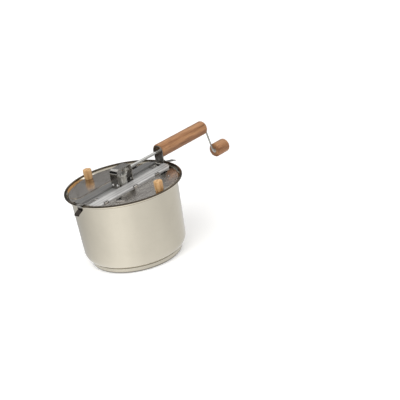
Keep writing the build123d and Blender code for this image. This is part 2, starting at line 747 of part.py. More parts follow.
# ================================================================ rim clips
with BuildPart() as rear_clip:
    clip_reach = rim_radius + rim_clearance
    add(bent_strip(
        [(handle_bracket_place, shaft_z - handle_radius - 0.8),
         (handle_bracket_place, pot_height + rim_clearance),
         (clip_reach, pot_height + rim_clearance),
         (clip_reach, pot_height - latch_leg_drop),
         (rear_tab_end, pot_height - rear_tab_tip[1])],
        clip_bend, tab_width, clip_sheet, Side.LEFT))
    with BuildSketch(Plane.XY.offset(pot_height - 30)) as plan:
        with Locations((handle_bracket_place, 0)):
            Rectangle(rear_tab_end - handle_bracket_place + 2, tab_width,
                      align=(Align.MIN, Align.CENTER))
        fillet(plan.vertices().group_by(Axis.X)[-1], radius=tab_width * 0.4)
    extrude(amount=60, mode=Mode.INTERSECT)
    with BuildSketch(Plane.YZ.offset(handle_bracket_place)):
        with Locations((0, pot_height + rear_rivet_rise)):
            Circle(rivet_radius + pin_fit)
    extrude(amount=2 * clip_sheet, mode=Mode.SUBTRACT)

with BuildPart() as rear_clip_rivet:
    with Locations(Plane(
        origin=(handle_bracket_place + clip_sheet, 0, pot_height + rear_rivet_rise), z_dir=(-1, 0, 0)
    )):
        add(domed_rivet(clip_sheet + handle_bracket_sheet))

with BuildPart() as latch_arm:
    add(bent_strip(
        [(latch_arm_length - lid_radius, floor_z), (-lid_radius + 3.4, floor_z),
         (latch_eye_x + 9.4, latch_eye_z - latch_eye_radius),
         (latch_eye_x, latch_eye_z - latch_eye_radius)],
        clip_bend, clip_width, clip_sheet))
    with BuildSketch(Plane.XZ.offset(-clip_width / 2)):
        with Locations((latch_eye_x, latch_eye_z)):
            Circle(latch_eye_radius)
    extrude(amount=clip_width)
    with BuildSketch(Plane.XZ.offset(-clip_width / 2)):
        with Locations((latch_eye_x, latch_eye_z)):
            Circle(latch_pin_radius + pin_fit)
    extrude(amount=clip_width, mode=Mode.SUBTRACT)
    with BuildSketch(Plane.XY.offset(pot_height - 3)):
        with Locations((latch_eye_x, 0)):
            Rectangle(2 * latch_eye_radius + 1.2, latch_eye_width + 2 * seat_gap)
    extrude(amount=10, mode=Mode.SUBTRACT)
    with BuildSketch(Plane.XY.offset(floor_z)):
        with Locations((-latch_rivet_place, 0)):
            with GridLocations(0, floor_rivet_spread, 1, 2):
                Circle(rivet_radius + pin_fit)
    extrude(amount=2 * clip_sheet, mode=Mode.SUBTRACT)

with BuildPart() as latch_arm_rivets:
    with Locations(Plane(origin=(-latch_rivet_place, 0, floor_z + clip_sheet), z_dir=(0, 0, -1))):
        with GridLocations(0, floor_rivet_spread, 1, 2):
            add(domed_rivet(clip_sheet + lid_sheet))

with BuildPart() as latch_pin:
    with BuildSketch(Plane.XZ.offset(-clip_width / 2 - seat_gap)):
        with Locations((latch_eye_x, latch_eye_z)):
            Circle(latch_pin_radius)
    extrude(amount=clip_width + 2 * seat_gap)

with BuildPart() as front_latch:
    add(bent_strip(
        [(-latch_leg_place, latch_eye_z), (-latch_leg_place, pot_height - latch_leg_drop),
         (-latch_tooth_place, pot_height - latch_tooth_drop),
         (-front_tab_end, pot_height - front_tab_tip[1])],
        [0.6, 1.3], tab_width, clip_sheet))
    with BuildSketch(Plane.XZ.offset(-tab_width / 2)):
        with Locations((-front_tab_end, pot_height - front_tab_tip[1] + clip_sheet - tab_roll)):
            Circle(tab_roll)
    extrude(amount=tab_width)
    with BuildSketch(Plane.XY.offset(pot_height - 30)) as plan:
        with Locations((-rim_radius, 0)):
            Rectangle(front_tab_tip[0] + tab_roll, tab_width, align=(Align.MAX, Align.CENTER))
        fillet(plan.vertices().group_by(Axis.X)[0], radius=tab_width * 0.3)
    extrude(amount=60, mode=Mode.INTERSECT)
    # the neck beside the arm's eyes
    with BuildSketch(Plane.XY.offset(latch_eye_z - latch_neck)):
        Rectangle(4 * rim_radius, 2 * tab_width)
        Rectangle(4 * rim_radius, latch_eye_width, mode=Mode.SUBTRACT)
    extrude(amount=30, mode=Mode.SUBTRACT)
    with BuildSketch(Plane.XZ.offset(-latch_eye_width / 2)):
        with Locations((latch_eye_x, latch_eye_z)):
            Circle(latch_eye_radius)
    extrude(amount=latch_eye_width)
    with BuildSketch(Plane.XZ.offset(-latch_eye_width / 2)):
        with Locations((latch_eye_x, latch_eye_z)):
            Circle(latch_pin_radius + running_fit)
    extrude(amount=latch_eye_width, mode=Mode.SUBTRACT)

# ================================================================ crank
lean = radians(crank_lean)
crank_plane = Plane(origin=(0, 0, shaft_z), x_dir=(1, 0, 0), z_dir=(0, cos(lean), -sin(lean)))
pin_y = -crank_throw * sin(lean)
pin_z = shaft_z - crank_throw * cos(lean)
rod_start = toe_scale * cone_distance * cos(atan(crank_teeth / stir_teeth)) - 1.0
pin_end = knob_end - retainer_recess_depth + retainer_thickness + 0.4
with BuildPart() as crank_rod:
    with BuildLine(crank_plane) as crank_path:
        FilletPolyline(
            (rod_start, 0), (arm_x, 0), (arm_x, crank_throw), (pin_end, crank_throw),
            radius=crank_bend_radius,
        )
    with BuildSketch(Plane.YZ.offset(rod_start)):
        with Locations((0, shaft_z)):
            Circle(crank_wire_radius)
    sweep(path=crank_path.line)
    with BuildSketch(Plane(origin=(crank_gear_pin_x, 0, shaft_z), z_dir=(0, 1, 0))):
        Circle(gear_pin_radius + pin_fit)
    extrude(amount=2 * crank_wire_radius, both=True, mode=Mode.SUBTRACT)

with BuildPart() as thrust_washer:
    with BuildSketch(Plane.YZ.offset(handle_end + tube_flare_thickness + seat_gap)):
        with Locations((0, shaft_z)):
            Circle(thrust_washer_radius)
            Circle(crank_wire_radius + pin_fit, mode=Mode.SUBTRACT)
    extrude(amount=thrust_washer_thickness)

with BuildPart() as crank_knob:
    with BuildSketch(Plane.YZ.offset(knob_x)):
        with Locations((pin_y, pin_z)):
            Circle(crank_knob_radius)
    extrude(amount=crank_knob_length)
    fillet(crank_knob.edges().group_by(Axis.X)[-1], radius=crank_knob_fillet)
    fillet(crank_knob.edges().group_by(Axis.X)[0], radius=crank_knob_fillet * 0.5)
    with BuildSketch(Plane.YZ.offset(knob_x)):
        with Locations((pin_y, pin_z)):
            Circle(crank_wire_radius + running_fit)
    extrude(amount=crank_knob_length, mode=Mode.SUBTRACT)
    with BuildSketch(Plane.YZ.offset(knob_end - retainer_recess_depth)):
        with Locations((pin_y, pin_z)):
            Circle(retainer_recess_radius)
    extrude(amount=retainer_recess_depth, mode=Mode.SUBTRACT)

with BuildPart() as knob_washer:
    with BuildSketch(Plane.YZ.offset(arm_x + crank_knob_gap)):
        with Locations((pin_y, pin_z)):
            Circle(knob_washer_radius)
            Circle(crank_wire_radius + pin_fit, mode=Mode.SUBTRACT)
    extrude(amount=knob_washer_thickness)

with BuildPart() as knob_retainer:
    with BuildSketch(Plane.YZ.offset(knob_end - retainer_recess_depth + seat_gap)):
        with Locations((pin_y, pin_z)):
            Circle(retainer_radius)
    extrude(amount=retainer_thickness - seat_gap)
    fillet(knob_retainer.edges().group_by(Axis.X)[-1], radius=1.2)
    with BuildSketch(Plane.YZ.offset(knob_end - retainer_recess_depth)):
        with Locations((pin_y, pin_z)):
            Circle(crank_wire_radius + pin_fit)
    extrude(amount=retainer_recess_depth, mode=Mode.SUBTRACT)

# ================================================================ write the pieces
pieces = {
    "pot_shell": pot_shell, "base_disc": base_disc, "crossbar": crossbar,
    "hinge_pin_far": hinge_pin_far, "hinge_pin_near": hinge_pin_near,
    "flap_far": flap_far, "flap_near": flap_near,
    "knob_far": knob_far, "knob_near": knob_near,
    "knob_screw_far": knob_screw_far, "knob_screw_near": knob_screw_near,
    "stir_gear": stir_gear, "crank_gear": crank_gear,
    "stir_gear_pin": stir_gear_pin, "crank_gear_pin": crank_gear_pin,
    "gear_bracket": gear_bracket, "bracket_base": bracket_base, "bracket_rivets": bracket_rivets,
    "stir_bush": stir_bush, "stir_rod": stir_rod, "rod_clip": rod_clip,
    "stir_hub": stir_hub, "stir_hub_pin": stir_hub_pin, "stir_arms": stir_arms,
    "bearing_tube": bearing_tube, "handle": handle,
    "handle_bracket": handle_bracket, "handle_bracket_rivets": handle_bracket_rivets,
    "rear_clip": rear_clip, "rear_clip_rivet": rear_clip_rivet,
    "latch_arm": latch_arm, "latch_arm_rivets": latch_arm_rivets,
    "latch_pin": latch_pin, "front_latch": front_latch,
    "crank_rod": crank_rod, "thrust_washer": thrust_washer,
    "crank_knob": crank_knob, "knob_washer": knob_washer, "knob_retainer": knob_retainer,
}
for name, piece in pieces.items():
    piece.part.label = name
    export_step(piece.part, f"parts/{name}.step")
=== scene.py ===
import math

import bmesh
import bpy
from mathutils import Matrix, Quaternion, Vector


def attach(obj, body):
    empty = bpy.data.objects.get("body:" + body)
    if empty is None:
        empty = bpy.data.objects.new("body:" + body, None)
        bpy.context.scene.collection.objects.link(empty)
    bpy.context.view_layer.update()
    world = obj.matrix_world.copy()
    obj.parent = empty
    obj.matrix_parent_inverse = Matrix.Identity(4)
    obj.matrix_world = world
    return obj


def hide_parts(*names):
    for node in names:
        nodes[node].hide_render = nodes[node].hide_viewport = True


# A popcorn popper for the stove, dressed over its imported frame. The origin is the centre of the pot's
# flat base, +Z is up and +X runs to the handle. The object's sizes are in millimetres, and the camera,
# the textures, the floor and the lights are in metres.
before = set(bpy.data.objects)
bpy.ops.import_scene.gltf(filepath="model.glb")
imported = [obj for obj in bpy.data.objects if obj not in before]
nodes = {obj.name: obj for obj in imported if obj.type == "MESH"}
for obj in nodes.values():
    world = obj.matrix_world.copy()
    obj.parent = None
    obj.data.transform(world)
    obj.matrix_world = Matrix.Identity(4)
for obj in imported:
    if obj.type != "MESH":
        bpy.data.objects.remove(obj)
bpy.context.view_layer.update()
scene = bpy.context.scene
scene.view_settings.view_transform = "Standard"
MM = 0.001

# ---------------------------------------------------------------- camera
AZIMUTH, ELEVATION, ROLL = math.radians(-45.5), math.radians(21.89), math.radians(10.55)
CAMERA_PLACE = (-1.5238, -1.7128, 1.0127)
SENSOR_WIDTH, LENS = 36.0, 103.79
NEAREST, FARTHEST = 0.05, 30.0

back = Vector((
    math.sin(AZIMUTH) * math.cos(ELEVATION), -math.cos(AZIMUTH) * math.cos(ELEVATION), math.sin(ELEVATION)
))
camera = bpy.data.objects.new("camera", bpy.data.cameras.new("camera"))
scene.collection.objects.link(camera)
scene.camera = camera
camera.data.sensor_width = SENSOR_WIDTH
camera.data.lens = LENS
camera.data.clip_start, camera.data.clip_end = NEAREST, FARTHEST
camera.location = CAMERA_PLACE
camera.rotation_mode = "QUATERNION"
camera.rotation_quaternion = (-back).to_track_quat("-Z", "Y") @ Quaternion((0, 0, 1), -ROLL)

# ---------------------------------------------------------------- sizes
ORIGIN, UP, FORWARD = (0, 0, 0), (0, 0, 1), (1, 0, 0)
POT_SHEET = 1.0
OUTLINE_START = 0.01  # the pot's outline starts this far from its axis
WALL_FOOT_RADIUS, WALL_TOP_RADIUS, CORNER_RADIUS = 110.0, 115.2, 24.0
WALL_BEND = 2.0  # where the wall turns out into the ledge
LEDGE_RADIUS, LEDGE_Z, LEDGE_BEND = 119.5, 157.2, 1.8
FLARE_RADIUS = 123.8  # at the flare's top, where the rolled rim starts
BEAD_PLACE, BEAD_Z, BEAD_RADIUS = 124.4, 163.4, 2.6
BASE_RADIUS, BASE_THICKNESS, BASE_EDGE = 98.0, 8.0, 2.2
BASE_LIP, LIP_WIDTH, LIP_ROOT = 2.3, 6.0, 0.5  # the disc's edge turns up under the pot's round corner
FLOOR_GAP = 0.1  # between the disc's top and the pot's floor
SHAFT_Z = 189.5
PANEL_Z = 161.0
KNOB_PLACE, KNOB_HEIGHT, KNOB_RADIUS, KNOB_FOOT = 106.0, 22.0, 9.4, 8.4
KNOB_BELLY_START, KNOB_BELLY_END = 6.0, 14.0  # the stretch of its height where the knob is fullest
KNOB_SWELL, KNOB_TAPER = 0.25, 0.3  # its radius grows along the belly and shrinks from there to the top
SCREW_BORE, SCREW_DEPTH = 2.05, 16.0
HANDLE_START, HANDLE_END, HANDLE_RADIUS, HANDLE_BORE = 119.6, 270.0, 15.8, 3.3
TURNER_START, TURNER_LENGTH, TURNER_RADIUS, TURNER_BORE = 280.4, 37.0, 15.6, 1.86
RECESS_RADIUS, RECESS_DEPTH = 6.0, 3.4  # round the push nut at the crank knob's outer end
CRANK_LEAN = math.radians(14.0)
CRANK_THROW = 60.5
PIN_Y, PIN_Z = -CRANK_THROW * math.sin(CRANK_LEAN), SHAFT_Z - CRANK_THROW * math.cos(CRANK_LEAN)


# ---------------------------------------------------------------- node helpers
class Nodes:
    """Small helpers to wire a material's nodes."""

    def __init__(self, name):
        self.material = bpy.data.materials.new(name)
        self.material.use_nodes = True
        self.tree = self.material.node_tree
        self.shader = self.tree.nodes["Principled BSDF"]
        self.coords = self.tree.nodes.new("ShaderNodeTexCoord").outputs["Object"]

    def link(self, a, b):
        self.tree.links.new(a, b)

    def mapped(self, scale=(1, 1, 1), place=(0, 0, 0)):
        node = self.tree.nodes.new("ShaderNodeMapping")
        node.inputs["Scale"].default_value = scale
        node.inputs["Location"].default_value = place
        self.link(self.coords, node.inputs["Vector"])
        return node.outputs["Vector"]

    def noise(self, vector, scale, detail=4.0, rough=0.55):
        node = self.tree.nodes.new("ShaderNodeTexNoise")
        node.inputs["Scale"].default_value = scale
        node.inputs["Detail"].default_value = detail
        node.inputs["Roughness"].default_value = rough
        self.link(vector, node.inputs["Vector"])
        return node.outputs["Fac"]

    def gradient(self, vector, kind):
        node = self.tree.nodes.new("ShaderNodeTexGradient")
        node.gradient_type = kind
        self.link(vector, node.inputs["Vector"])
        return node.outputs["Fac"]

    def ramp(self, value, stops):
        node = self.tree.nodes.new("ShaderNodeValToRGB")
        elements = node.color_ramp.elements
        while len(elements) < len(stops):
            elements.new(0.5)
        for element, (place, colour) in zip(elements, stops):
            element.position = place
            element.color = (*colour, 1.0)
        self.link(value, node.inputs["Fac"])
        return node.outputs["Color"]

    def spread(self, value, low, high, source=(0.0, 1.0)):
        node = self.tree.nodes.new("ShaderNodeMapRange")
        node.inputs["From Min"].default_value = source[0]
        node.inputs["From Max"].default_value = source[1]
        node.inputs["To Min"].default_value = low
        node.inputs["To Max"].default_value = high
        self.link(value, node.inputs["Value"])
        return node.outputs["Result"]

    def math(self, operation, a, b):
        node = self.tree.nodes.new("ShaderNodeMath")
        node.operation = operation
        for socket, value in zip(node.inputs, (a, b)):
            if isinstance(value, (int, float)):
                socket.default_value = value
            else:
                self.link(value, socket)
        return node.outputs["Value"]

    def blend(self, a, b, share):
        """The sum of two values, the first with its share and the second with the rest."""
        return self.math("ADD", self.math("MULTIPLY", a, share), self.math("MULTIPLY", b, 1 - share))

    def mix(self, factor, a, b, mode="MIX"):
        node = self.tree.nodes.new("ShaderNodeMix")
        node.data_type = "RGBA"
        node.blend_type = mode
        for socket, value in ((node.inputs[0], factor), (node.inputs[6], a), (node.inputs[7], b)):
            if isinstance(value, (int, float)):
                socket.default_value = value
            elif isinstance(value, tuple):
                socket.default_value = (*value, 1.0)
            else:
                self.link(value, socket)
        return node.outputs[2]

    def bump(self, height, strength, distance, normal=None):
        node = self.tree.nodes.new("ShaderNodeBump")
        node.inputs["Strength"].default_value = strength
        node.inputs["Distance"].default_value = distance
        self.link(height, node.inputs["Height"])
        if normal is not None:
            self.link(normal, node.inputs["Normal"])
        return node.outputs["Normal"]

    def along(self, axis, stops):
        """A tone that follows one axis; stops are (place in millimetres, grey or colour)."""
        low, high = stops[0][0], stops[-1][0]
        split = self.tree.nodes.new("ShaderNodeSeparateXYZ")
        self.link(self.coords, split.inputs["Vector"])
        place = self.spread(split.outputs[axis], 0.0, 1.0, (low * MM, high * MM))
        colours = [tone if isinstance(tone, tuple) else (tone,) * 3 for _, tone in stops]
        return self.ramp(place, [((at - low) / (high - low), c) for (at, _), c in zip(stops, colours)])

    def finish(self, colour=None, rough=None, normal=None, **constants):
        for name, value in constants.items():
            self.shader.inputs[name.replace("_", " ")].default_value = value
        for socket, value in (("Base Color", colour), ("Roughness", rough), ("Normal", normal)):
            if value is not None:
                self.link(value, self.shader.inputs[socket])
        return self.material


# ---------------------------------------------------------------- materials
def polished_steel(name, light, dark, rough, wave=0.0, bands=None):
    """Mirror steel: faint hazy patches, fine hairlines and a slight waviness of the pressed sheet."""
    m = Nodes(name)
    haze = m.noise(m.mapped(), 14.0, detail=5.0, rough=0.6)
    hair = m.noise(m.mapped(scale=(900, 900, 60)), 1.0, detail=2.0)
    colour = m.mix(m.spread(haze, 0.0, 1.0, (0.35, 0.68)), light, dark)
    if bands:
        colour = m.mix(1.0, colour, m.along(*bands), "MULTIPLY")
    roughness = m.math("ADD", m.spread(haze, *rough, (0.3, 0.7)), m.spread(hair, -0.02, 0.03))
    normal = m.bump(hair, strength=0.03, distance=0.0004)
    if wave:
        swell = m.noise(m.mapped(), 26.0, detail=1.0)
        normal = m.bump(swell, strength=wave, distance=0.002, normal=normal)
    return m.finish(colour, roughness, normal, Metallic=1.0)


def brushed_steel(name, light, dark, stretch, rough, bite=0.25, metallic=1.0, softness=0.14, bands=None):
    """Satin steel: stretch sets the brush lines' direction and closeness, softness makes them fainter."""
    m = Nodes(name)
    lines = m.noise(m.mapped(scale=stretch), 1.0, detail=5.0, rough=0.7)
    patches = m.noise(m.mapped(), 22.0, detail=6.0, rough=0.65)
    tone = m.blend(lines, patches, 0.55)
    colour = m.mix(m.spread(tone, 0.0, 1.0, (0.5 - softness, 0.5 + softness)), dark, light)
    if bands:
        colour = m.mix(1.0, colour, m.along(*bands), "MULTIPLY")
    roughness = m.spread(tone, rough[1], rough[0], (0.35, 0.65))
    normal = m.bump(lines, strength=bite, distance=0.0003)
    return m.finish(colour, roughness, normal, Metallic=metallic)


def turned_wood(name, pale, mid, dark, grain, centre, rings, ring_share, pore_depth):
    """Lacquered wood: growth rings about a line beside the piece, streaks and pores along the grain."""
    m = Nodes(name)
    stretch = {"X": (0.09, 1, 1), "Z": (1, 1, 0.16)}[grain]
    fine = {"X": (45, 620, 620), "Z": (620, 620, 130)}[grain]
    wave = m.tree.nodes.new("ShaderNodeTexWave")
    wave.wave_type, wave.rings_direction = "RINGS", grain
    wave.inputs["Scale"].default_value = rings
    wave.inputs["Distortion"].default_value = 4.0
    wave.inputs["Detail"].default_value = 3.0
    wave.inputs["Detail Scale"].default_value = 2.2
    m.link(m.mapped(scale=stretch, place=centre), wave.inputs["Vector"])
    streak = m.noise(m.mapped(scale=tuple(260 * s for s in stretch)), 1.0, detail=6.0, rough=0.66)
    pores = m.noise(m.mapped(scale=fine), 1.0, detail=3.0, rough=0.6)
    tone = m.blend(wave.outputs["Fac"], streak, ring_share)
    colour = m.ramp(m.spread(tone, 0.0, 1.0, (0.28, 0.74)), [(0.05, pale), (0.5, mid), (0.95, dark)])
    colour = m.mix(m.spread(pores, 0.0, pore_depth, (0.52, 0.74)), colour, tuple(c * 0.5 for c in dark))
    roughness = m.spread(tone, 0.46, 0.60, (0.3, 0.7))
    relief = m.math("ADD", pores, m.math("MULTIPLY", streak, 0.6))
    normal = m.bump(relief, strength=0.25, distance=0.0006)
    return m.finish(colour, roughness, normal, Coat_Weight=0.12, Coat_Roughness=0.3)


# painted shade: the first darkens the low ends of the base disc and the latch, the second the pot's rolled
# rim
PAINTED_LOW_SHADE, PAINTED_RIM_SHADE = (0.10, 0.085, 0.075), (0.20, 0.175, 0.155)
STRIP_LIGHT, STRIP_DARK = (0.54, 0.52, 0.49), (0.40, 0.385, 0.36)

pot_steel = polished_steel(
    "pot_steel", (0.715, 0.663, 0.552), (0.675, 0.625, 0.52), rough=(0.05, 0.10), wave=0.05,
    # painted shade in the crease at the ledge, a painted highlight on the flare and painted shade on the
    # roll above it
    bands=("Z", [
        (156.6, 1.0), (157.3, 0.55), (158.4, 0.55), (159.2, 1.35), (162.4, 1.35), (163.8, PAINTED_RIM_SHADE),
    ])
)
base_steel = brushed_steel(
    "base_steel", (0.66, 0.61, 0.51), (0.58, 0.54, 0.45), stretch=(120, 120, 2600), rough=(0.14, 0.24),
    # painted shade: the disc darkens towards its foot on the floor
    bands=("Z", [(0.6, PAINTED_LOW_SHADE), (2.4, 0.6), (4.0, 1.0)])
)
rail_steel = brushed_steel(
    "rail_steel", (0.80, 0.79, 0.77), (0.62, 0.61, 0.59), stretch=(5, 200, 200), rough=(0.40, 0.50),
    bite=0.10, metallic=0.45,
    # painted reflection lines along the near rail, which is painted bright, then the channel and the duller
    # far rail in painted shade
    bands=("Y", [
        (-38, 0.8), (-35, 1.0), (-30.5, 0.62), (-27, 1.0), (-22.5, 0.66), (-19, 1.0), (-14.5, 0.7),
        (-12.5, 1.0), (-11, 0.5), (11, 0.5), (12, 0.32), (24, 0.28), (26, 0.4), (30, 0.3), (36, 0.32),
        (38, 0.6),
    ])
)
panel_steel = brushed_steel(
    "panel_steel", (0.74, 0.70, 0.65), (0.38, 0.35, 0.32), stretch=(60, 300, 300), rough=(0.12, 0.28),
    softness=0.08
)
strip_steel = polished_steel("bracket_steel", STRIP_LIGHT, STRIP_DARK, rough=(0.14, 0.24), wave=0.05)
latch_steel = polished_steel(
    "latch_steel", STRIP_LIGHT, STRIP_DARK, rough=(0.14, 0.24), wave=0.05,
    # painted shade: the latch is near black towards its lower end, below the rim
    bands=("Z", [(161, PAINTED_LOW_SHADE), (164, 1.0)])
)
gear_steel = brushed_steel(
    "gear_steel", (0.86, 0.85, 0.80), (0.50, 0.48, 0.44), stretch=(300, 300, 300), rough=(0.24, 0.40),
    bite=0.1, metallic=0.6, softness=0.10
)
# painted highlight: the rivets are near white and little metallic, so that they show as bright dots
rivet_steel_painted_highlight = brushed_steel(
    "rivet_steel_painted_highlight", (0.97, 0.96, 0.94), (0.86, 0.85, 0.83), stretch=(400, 400, 400), rough=(0.2, 0.3),
    bite=0.05, metallic=0.3
)
bush_steel = brushed_steel(
    "bush_steel", (0.62, 0.60, 0.56), (0.44, 0.42, 0.39), stretch=(200, 200, 2500), rough=(0.25, 0.4)
)
wire_steel = polished_steel("wire_steel", (0.76, 0.755, 0.73), (0.64, 0.635, 0.61), rough=(0.10, 0.18))
pin_steel = polished_steel("pin_steel", (0.74, 0.72, 0.68), (0.62, 0.60, 0.56), rough=(0.12, 0.22))
# painted shade: the hinge pins are near black, standing in for the dark gaps round them
pin_steel_painted_shade = polished_steel(
    "pin_steel_painted_shade", (0.14, 0.13, 0.12), (0.08, 0.075, 0.07), rough=(0.2, 0.3)
)
knob_wood = turned_wood(
    "knob_wood", (0.88, 0.58, 0.29), (0.72, 0.43, 0.19), (0.50, 0.25, 0.095), grain="Z",
    centre=(0.02, 0.05, 0), rings=30.0, ring_share=0.2, pore_depth=0.5
)
handle_wood = turned_wood(
    "handle_wood", (0.52, 0.265, 0.117), (0.385, 0.178, 0.072), (0.225, 0.094, 0.034), grain="X",
    centre=(0, 0.03, -0.16), rings=18.0, ring_share=0.25, pore_depth=0.8
)


# ---------------------------------------------------------------- mesh helpers
SHARP_ANGLE = math.radians(35)  # a lathed piece shades smoothly across edges up to this angle
MERGE_DISTANCE = 1e-6  # in metres


def rounded(points, radii, steps=8):
    """A polyline through 2-D points, with each corner between its ends rounded by its radius."""
    path = [Vector(points[0])]
    for before, corner, after, radius in zip(points, points[1:], points[2:], radii):
        before, corner, after = Vector(before), Vector(corner), Vector(after)
        into, out = (before - corner).normalized(), (after - corner).normalized()
        half = into.angle(out) / 2
        reach = radius / math.tan(half)
        centre = corner + (into + out).normalized() * (radius / math.sin(half))
        start, stop = corner + into * reach - centre, corner + out * reach - centre
        sweep = math.atan2(start.x * stop.y - start.y * stop.x, start.dot(stop))
        for k in range(steps + 1):
            turn = sweep * k / steps
            path.append(centre + Vector((
                start.x * math.cos(turn) - start.y * math.sin(turn),
                start.x * math.sin(turn) + start.y * math.cos(turn),
            )))
    path.append(Vector(points[-1]))
    return path


def offset_path(path, amount):
    """The path moved to its left by amount."""
    moved = []
    for k, point in enumerate(path):
        ahead = (path[min(k + 1, len(path) - 1)] - path[max(k - 1, 0)]).normalized()
        moved.append(point + Vector((-ahead.y, ahead.x)) * amount)
    return moved


def put(name, mesh, body, material, replaced):
    """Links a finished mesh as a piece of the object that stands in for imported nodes."""
    mesh.polygons.foreach_set("use_smooth", [True] * len(mesh.polygons))
    mesh.set_sharp_from_angle(angle=SHARP_ANGLE)
    obj = bpy.data.objects.new(name, mesh)
    scene.collection.objects.link(obj)
    obj.data.materials.append(material)
    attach(obj, body)
    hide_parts(*replaced)


def lathe(name, profile, place, axis, steps, body, material, replaced, closed=False):
    """Revolves a profile of (radius, height) about an axis through place; closed joins its two ends."""
    turn = Vector((0, 0, 1)).rotation_difference(Vector(axis)).to_matrix().to_4x4()
    matrix = Matrix.Translation(Vector(place) * MM) @ turn
    bm = bmesh.new()
    rings = []
    for radius, height in profile:
        if radius == 0:
            rings.append([bm.verts.new(matrix @ Vector((0, 0, height * MM)))])
            continue
        rings.append([
            bm.verts.new(matrix @ Vector((
                radius * math.cos(2 * math.pi * k / steps) * MM,
                radius * math.sin(2 * math.pi * k / steps) * MM,
                height * MM,
            )))
            for k in range(steps)
        ])
    pairs = list(zip(rings, rings[1:])) + ([(rings[-1], rings[0])] if closed else [])
    for low, high in pairs:
        for k in range(steps):
            n = (k + 1) % steps
            face = [low[k % len(low)], low[n % len(low)], high[n % len(high)], high[k % len(high)]]
            unique = list(dict.fromkeys(face))
            if len(unique) > 2:
                bm.faces.new(unique)
    bmesh.ops.recalc_face_normals(bm, faces=bm.faces)
    mesh = bpy.data.meshes.new(name)
    bm.to_mesh(mesh)
    bm.free()
    put(name, mesh, body, material, replaced)


def dress(node, material, bevel=0.0, segments=2, limit=30):
    """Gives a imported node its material, rounded edges and smooth shading."""
    obj = nodes[node]
    obj.data.materials.clear()
    obj.data.materials.append(material)
    for polygon in obj.data.polygons:
        polygon.use_smooth = True
    weld = obj.modifiers.new("weld", "WELD")
    weld.merge_threshold = MERGE_DISTANCE
    if bevel:
        edge = obj.modifiers.new("bevel", "BEVEL")
        edge.width = bevel * MM
        edge.segments = segments
        edge.limit_method = "ANGLE"
        edge.angle_limit = math.radians(limit)
    obj.modifiers.new("even", "WEIGHTED_NORMAL")


# ---------------------------------------------------------------- pot
def rolled_rim(steps=24, first=215, turn=340):
    """The rim's roll, from the flare's inner side over the top and round to its outer side."""
    angles = [math.radians(first - turn * k / steps) for k in range(steps + 1)]
    return [
        Vector((BEAD_PLACE + BEAD_RADIUS * math.cos(a), BEAD_Z + BEAD_RADIUS * math.sin(a))) for a in angles
    ]


outer = rounded([
    (OUTLINE_START, BASE_THICKNESS), (WALL_FOOT_RADIUS, BASE_THICKNESS), (WALL_TOP_RADIUS, LEDGE_Z),
    (LEDGE_RADIUS, LEDGE_Z), (FLARE_RADIUS, BEAD_Z),
], [CORNER_RADIUS, WALL_BEND, LEDGE_BEND], steps=16)
inner = offset_path(outer, POT_SHEET)
floor_top, floor_bottom = Vector((0, BASE_THICKNESS + POT_SHEET)), Vector((0, BASE_THICKNESS))
sheet = [floor_top] + inner[:-1] + rolled_rim() + outer[:-1][::-1] + [floor_bottom]
lathe(
    "pot", sheet, ORIGIN, UP, steps=288, body="pot", material=pot_steel,
    replaced=("pot_shell",)
)
disc = rounded([
    (0, 0), (BASE_RADIUS, 0), (BASE_RADIUS, BASE_THICKNESS + BASE_LIP),
    (BASE_RADIUS - LIP_WIDTH, BASE_THICKNESS + LIP_ROOT), (0, BASE_THICKNESS - FLOOR_GAP),
], [BASE_EDGE, 0.6, 2])
lathe(
    "base", disc, ORIGIN, UP, steps=256, body="pot", material=base_steel,
    replaced=("base_disc",)
)

# ---------------------------------------------------------------- lid, crank and stirrer
dress("crossbar", rail_steel, bevel=0.3)
for node in ("flap_far", "flap_near"):
    dress(node, panel_steel, bevel=0.45, segments=3, limit=25)
for node in ("gear_bracket", "bracket_base", "handle_bracket", "rear_clip", "latch_arm"):
    dress(node, strip_steel, bevel=0.2)
dress("front_latch", latch_steel, bevel=0.2)
for node in ("crank_gear", "stir_gear", "stir_hub"):
    dress(node, gear_steel, bevel=0.12)
for node in ("stir_rod", "stir_arms", "bearing_tube", "crank_rod"):
    dress(node, wire_steel)
# the hinge pins carry painted shade
for node in ("hinge_pin_far", "hinge_pin_near"):
    dress(node, pin_steel_painted_shade)
for node in (
    "knob_screw_far", "knob_screw_near", "stir_gear_pin", "crank_gear_pin", "rod_clip", "stir_hub_pin",
    "handle_bracket_rivets", "rear_clip_rivet", "latch_arm_rivets", "latch_pin", "thrust_washer",
    "knob_washer", "knob_retainer",
):
    dress(node, pin_steel)
dress("bracket_rivets", rivet_steel_painted_highlight)
dress("stir_bush", bush_steel, bevel=0.15)

# ---------------------------------------------------------------- turned wood
knob = [Vector((0, SCREW_DEPTH)), Vector((SCREW_BORE, SCREW_DEPTH))] + rounded([
    (SCREW_BORE, 0), (KNOB_FOOT, 0), (KNOB_RADIUS - KNOB_SWELL, KNOB_BELLY_START),
    (KNOB_RADIUS, KNOB_BELLY_END), (KNOB_RADIUS - KNOB_TAPER, KNOB_HEIGHT), (0, KNOB_HEIGHT),
], [0.8, 8, 12, 2.2])
for side, name in ((1, "far"), (-1, "near")):
    lathe(
        f"lid_knob_{name}", knob, (0, side * KNOB_PLACE, PANEL_Z), UP, steps=96,
        body=f"{name}_half_lid", material=knob_wood, replaced=(f"knob_{name}",)
    )

